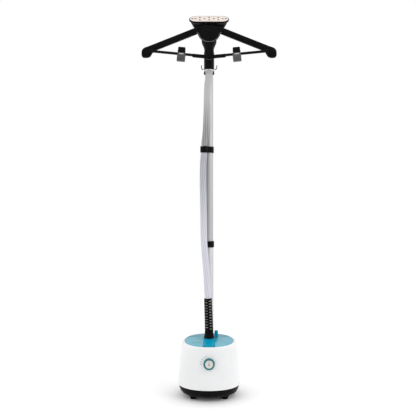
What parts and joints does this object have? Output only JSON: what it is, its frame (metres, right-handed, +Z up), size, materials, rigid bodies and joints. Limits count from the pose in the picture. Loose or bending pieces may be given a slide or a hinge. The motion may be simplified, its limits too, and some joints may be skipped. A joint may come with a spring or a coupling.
{
  "type": "garment steamer",
  "caption": "Upright garment steamer: round-cornered base with lift-out tank, telescopic pole, folding hanger with trouser clips, steam head and woven hose.",
  "frame": {"origin": "on the floor under the middle of the object's bounding box, without the hose", "axes": "+Z up along the pole; the front, with the dial, faces -Y; +X is to the right seen from the front"},
  "size_m": [0.4646, 0.1962, 1.3177],
  "materials": {
    "white_shell": "gloss white moulded plastic",
    "black_plastic": "fine satin moulded plastic",
    "charcoal_plastic": "fine-grained charcoal plastic",
    "dark_gloss": "polished dark grey plastic",
    "rubber": "soft black rubber",
    "cyan_plastic": "satin cyan plastic",
    "tank_clear": "translucent cyan plastic",
    "pole_aluminium": "satin anodised tube",
    "boiler_aluminium": "as-cast aluminium",
    "steel": "plated steel",
    "cream_plate": "cream ceramic-coated plate",
    "grey_plastic": "satin mid grey plastic",
    "hose_weave": "braided pale sleeve with small dark dots",
    "silicone": "translucent silicone tube",
    "hose_cuff": "satin silver ring"
  },
  "bodies": {
    "root": {"base_tray": "black_plastic", "foot_front_left": "rubber", "foot_front_right": "rubber", "foot_rear_left": "rubber", "foot_rear_right": "rubber", "body_shell": "white_shell", "cord_gland": "black_plastic", "chassis": "grey_plastic", "boiler_pot": "boiler_aluminium", "boiler_lid": "boiler_aluminium", "thermostat": "cream_plate", "steam_pipe": "silicone", "valve_seat": "black_plastic", "rotary_switch": "black_plastic", "top_deck": "tank_clear", "connector_spigot": "black_plastic", "strain_relief": "black_plastic", "lower_tube": "pole_aluminium", "hose_lower": "hose_weave"},
    "knob": {"knob_ring": "cyan_plastic", "knob_face": "cream_plate"},
    "tank": {"water_tank": "tank_clear", "tank_handle": "cyan_plastic", "tank_cap": "black_plastic", "tank_seal": "rubber", "valve_spring": "steel"},
    "valve": {"valve_plunger": "grey_plastic"},
    "nut": {"hose_nut": "black_plastic"},
    "lock_lever": {"hose_lock_lever": "cyan_plastic"},
    "collar": {"twist_collar": "black_plastic"},
    "mast_top": {"upper_tube": "pole_aluminium", "hose_clip": "black_plastic", "hose_upper": "hose_weave", "hub_frame": "charcoal_plastic", "hub_shield": "charcoal_plastic", "bar_bracket": "charcoal_plastic", "left_arm_pin": "steel", "right_arm_pin": "steel", "left_link_pin": "steel", "right_link_pin": "steel", "left_hook": "steel", "right_hook": "steel"},
    "handset": {"steam_plate": "cream_plate", "head_rim": "rubber", "head_shell": "dark_gloss", "handle_grip": "black_plastic", "handle_tube": "silicone", "hose_cuff": "hose_cuff"},
    "left_arm": {"left_arm": "charcoal_plastic"},
    "left_link": {"left_link": "charcoal_plastic"},
    "left_rod": {"left_rod": "charcoal_plastic"},
    "left_clip": {"left_clip_back": "grey_plastic"},
    "left_jaw": {"left_clip_front": "grey_plastic"},
    "right_arm": {"right_arm": "charcoal_plastic"},
    "right_link": {"right_link": "charcoal_plastic"},
    "right_rod": {"right_rod": "charcoal_plastic"},
    "right_clip": {"right_clip_back": "grey_plastic"},
    "right_jaw": {"right_clip_front": "grey_plastic"}
  },
  "joints": [
    {"name": "knob_turn", "type": "hinge", "parent": "root", "child": "knob", "pos_m": [0, -0.0864, 0.13], "axis": [0, -0.9978, 0.0663], "range_deg": [0, 270]},
    {"name": "tank_lift", "type": "slide", "parent": "root", "child": "tank", "axis": [0, 0, 1], "range_m": [0, 0.12]},
    {"name": "valve_press", "type": "slide", "parent": "tank", "child": "valve", "axis": [0, 0, 1], "range_m": [0, 0.003], "stiffness_N_per_m": 150, "springref_m": -0.004, "deforming": ["valve_spring"]},
    {"name": "nut_turn", "type": "hinge", "parent": "root", "child": "nut", "pos_m": [0, 0.022, 0.2], "axis": [0, 0, 1], "range_deg": [0, 60]},
    {"name": "lever_fold", "type": "hinge", "parent": "root", "child": "lock_lever", "pos_m": [0.02525, 0.022, 0.1942], "axis": [-1, 0, 0], "range_deg": [0, 70]},
    {"name": "collar_twist", "type": "hinge", "parent": "root", "child": "collar", "pos_m": [0, 0.056, 0.515], "axis": [0, 0, 1], "range_deg": [0, 60]},
    {"name": "mast_slide", "type": "slide", "parent": "root", "child": "mast_top", "axis": [0, 0, -1], "range_m": [0, 0.3], "deforming": ["hose_lower"]},
    {"name": "handset_lift", "type": "slide", "parent": "mast_top", "child": "handset", "axis": [0, 0, 1], "range_m": [0, 0.12], "deforming": ["hose_upper"]},
    {"name": "left_arm_fold", "type": "hinge", "parent": "mast_top", "child": "left_arm", "pos_m": [-0.038, -0.011, 1.2565], "axis": [0, -1, 0], "range_deg": [0, 45]},
    {"name": "left_link_swing", "type": "hinge", "parent": "mast_top", "child": "left_link", "pos_m": [-0.007, -0.0255, 1.1615], "axis": [0, -1, 0], "range_deg": [-80, 0]},
    {"name": "left_rod_swing", "type": "hinge", "parent": "left_arm", "child": "left_rod", "pos_m": [-0.212, -0.0316, 1.181], "axis": [0, -1, 0], "range_deg": [0, 14]},
    {"name": "left_clip_slide", "type": "slide", "parent": "left_rod", "child": "left_clip", "axis": [-0.9955, 0, 0.0947], "range_m": [0, 0.06]},
    {"name": "left_clip_open", "type": "hinge", "parent": "left_clip", "child": "left_jaw", "pos_m": [-0.094, -0.038, 1.1698], "axis": [-0.9955, 0, 0.0947], "range_deg": [0, 12], "stiffness_Nm_per_rad": 0.4, "springref_deg": -17.19},
    {"name": "right_arm_fold", "type": "hinge", "parent": "mast_top", "child": "right_arm", "pos_m": [0.038, -0.011, 1.2565], "axis": [0, 1, 0], "range_deg": [0, 45]},
    {"name": "right_link_swing", "type": "hinge", "parent": "mast_top", "child": "right_link", "pos_m": [0.007, -0.0255, 1.1615], "axis": [0, 1, 0], "range_deg": [-80, 0]},
    {"name": "right_rod_swing", "type": "hinge", "parent": "right_arm", "child": "right_rod", "pos_m": [0.212, -0.0316, 1.181], "axis": [0, 1, 0], "range_deg": [0, 14]},
    {"name": "right_clip_slide", "type": "slide", "parent": "right_rod", "child": "right_clip", "axis": [0.9955, 0, 0.0947], "range_m": [0, 0.06]},
    {"name": "right_clip_open", "type": "hinge", "parent": "right_clip", "child": "right_jaw", "pos_m": [0.094, -0.038, 1.1698], "axis": [-0.9955, 0, -0.0947], "range_deg": [0, 12], "stiffness_Nm_per_rad": 0.4, "springref_deg": -17.19}
  ],
  "couplings": [
    {"joint": "left_link_swing", "follows": "left_arm_fold", "ratio": -1.7739},
    {"joint": "left_rod_swing", "follows": "left_arm_fold", "ratio": 0.2925},
    {"joint": "right_link_swing", "follows": "right_arm_fold", "ratio": -1.7739},
    {"joint": "right_rod_swing", "follows": "right_arm_fold", "ratio": 0.2925}
  ]
}
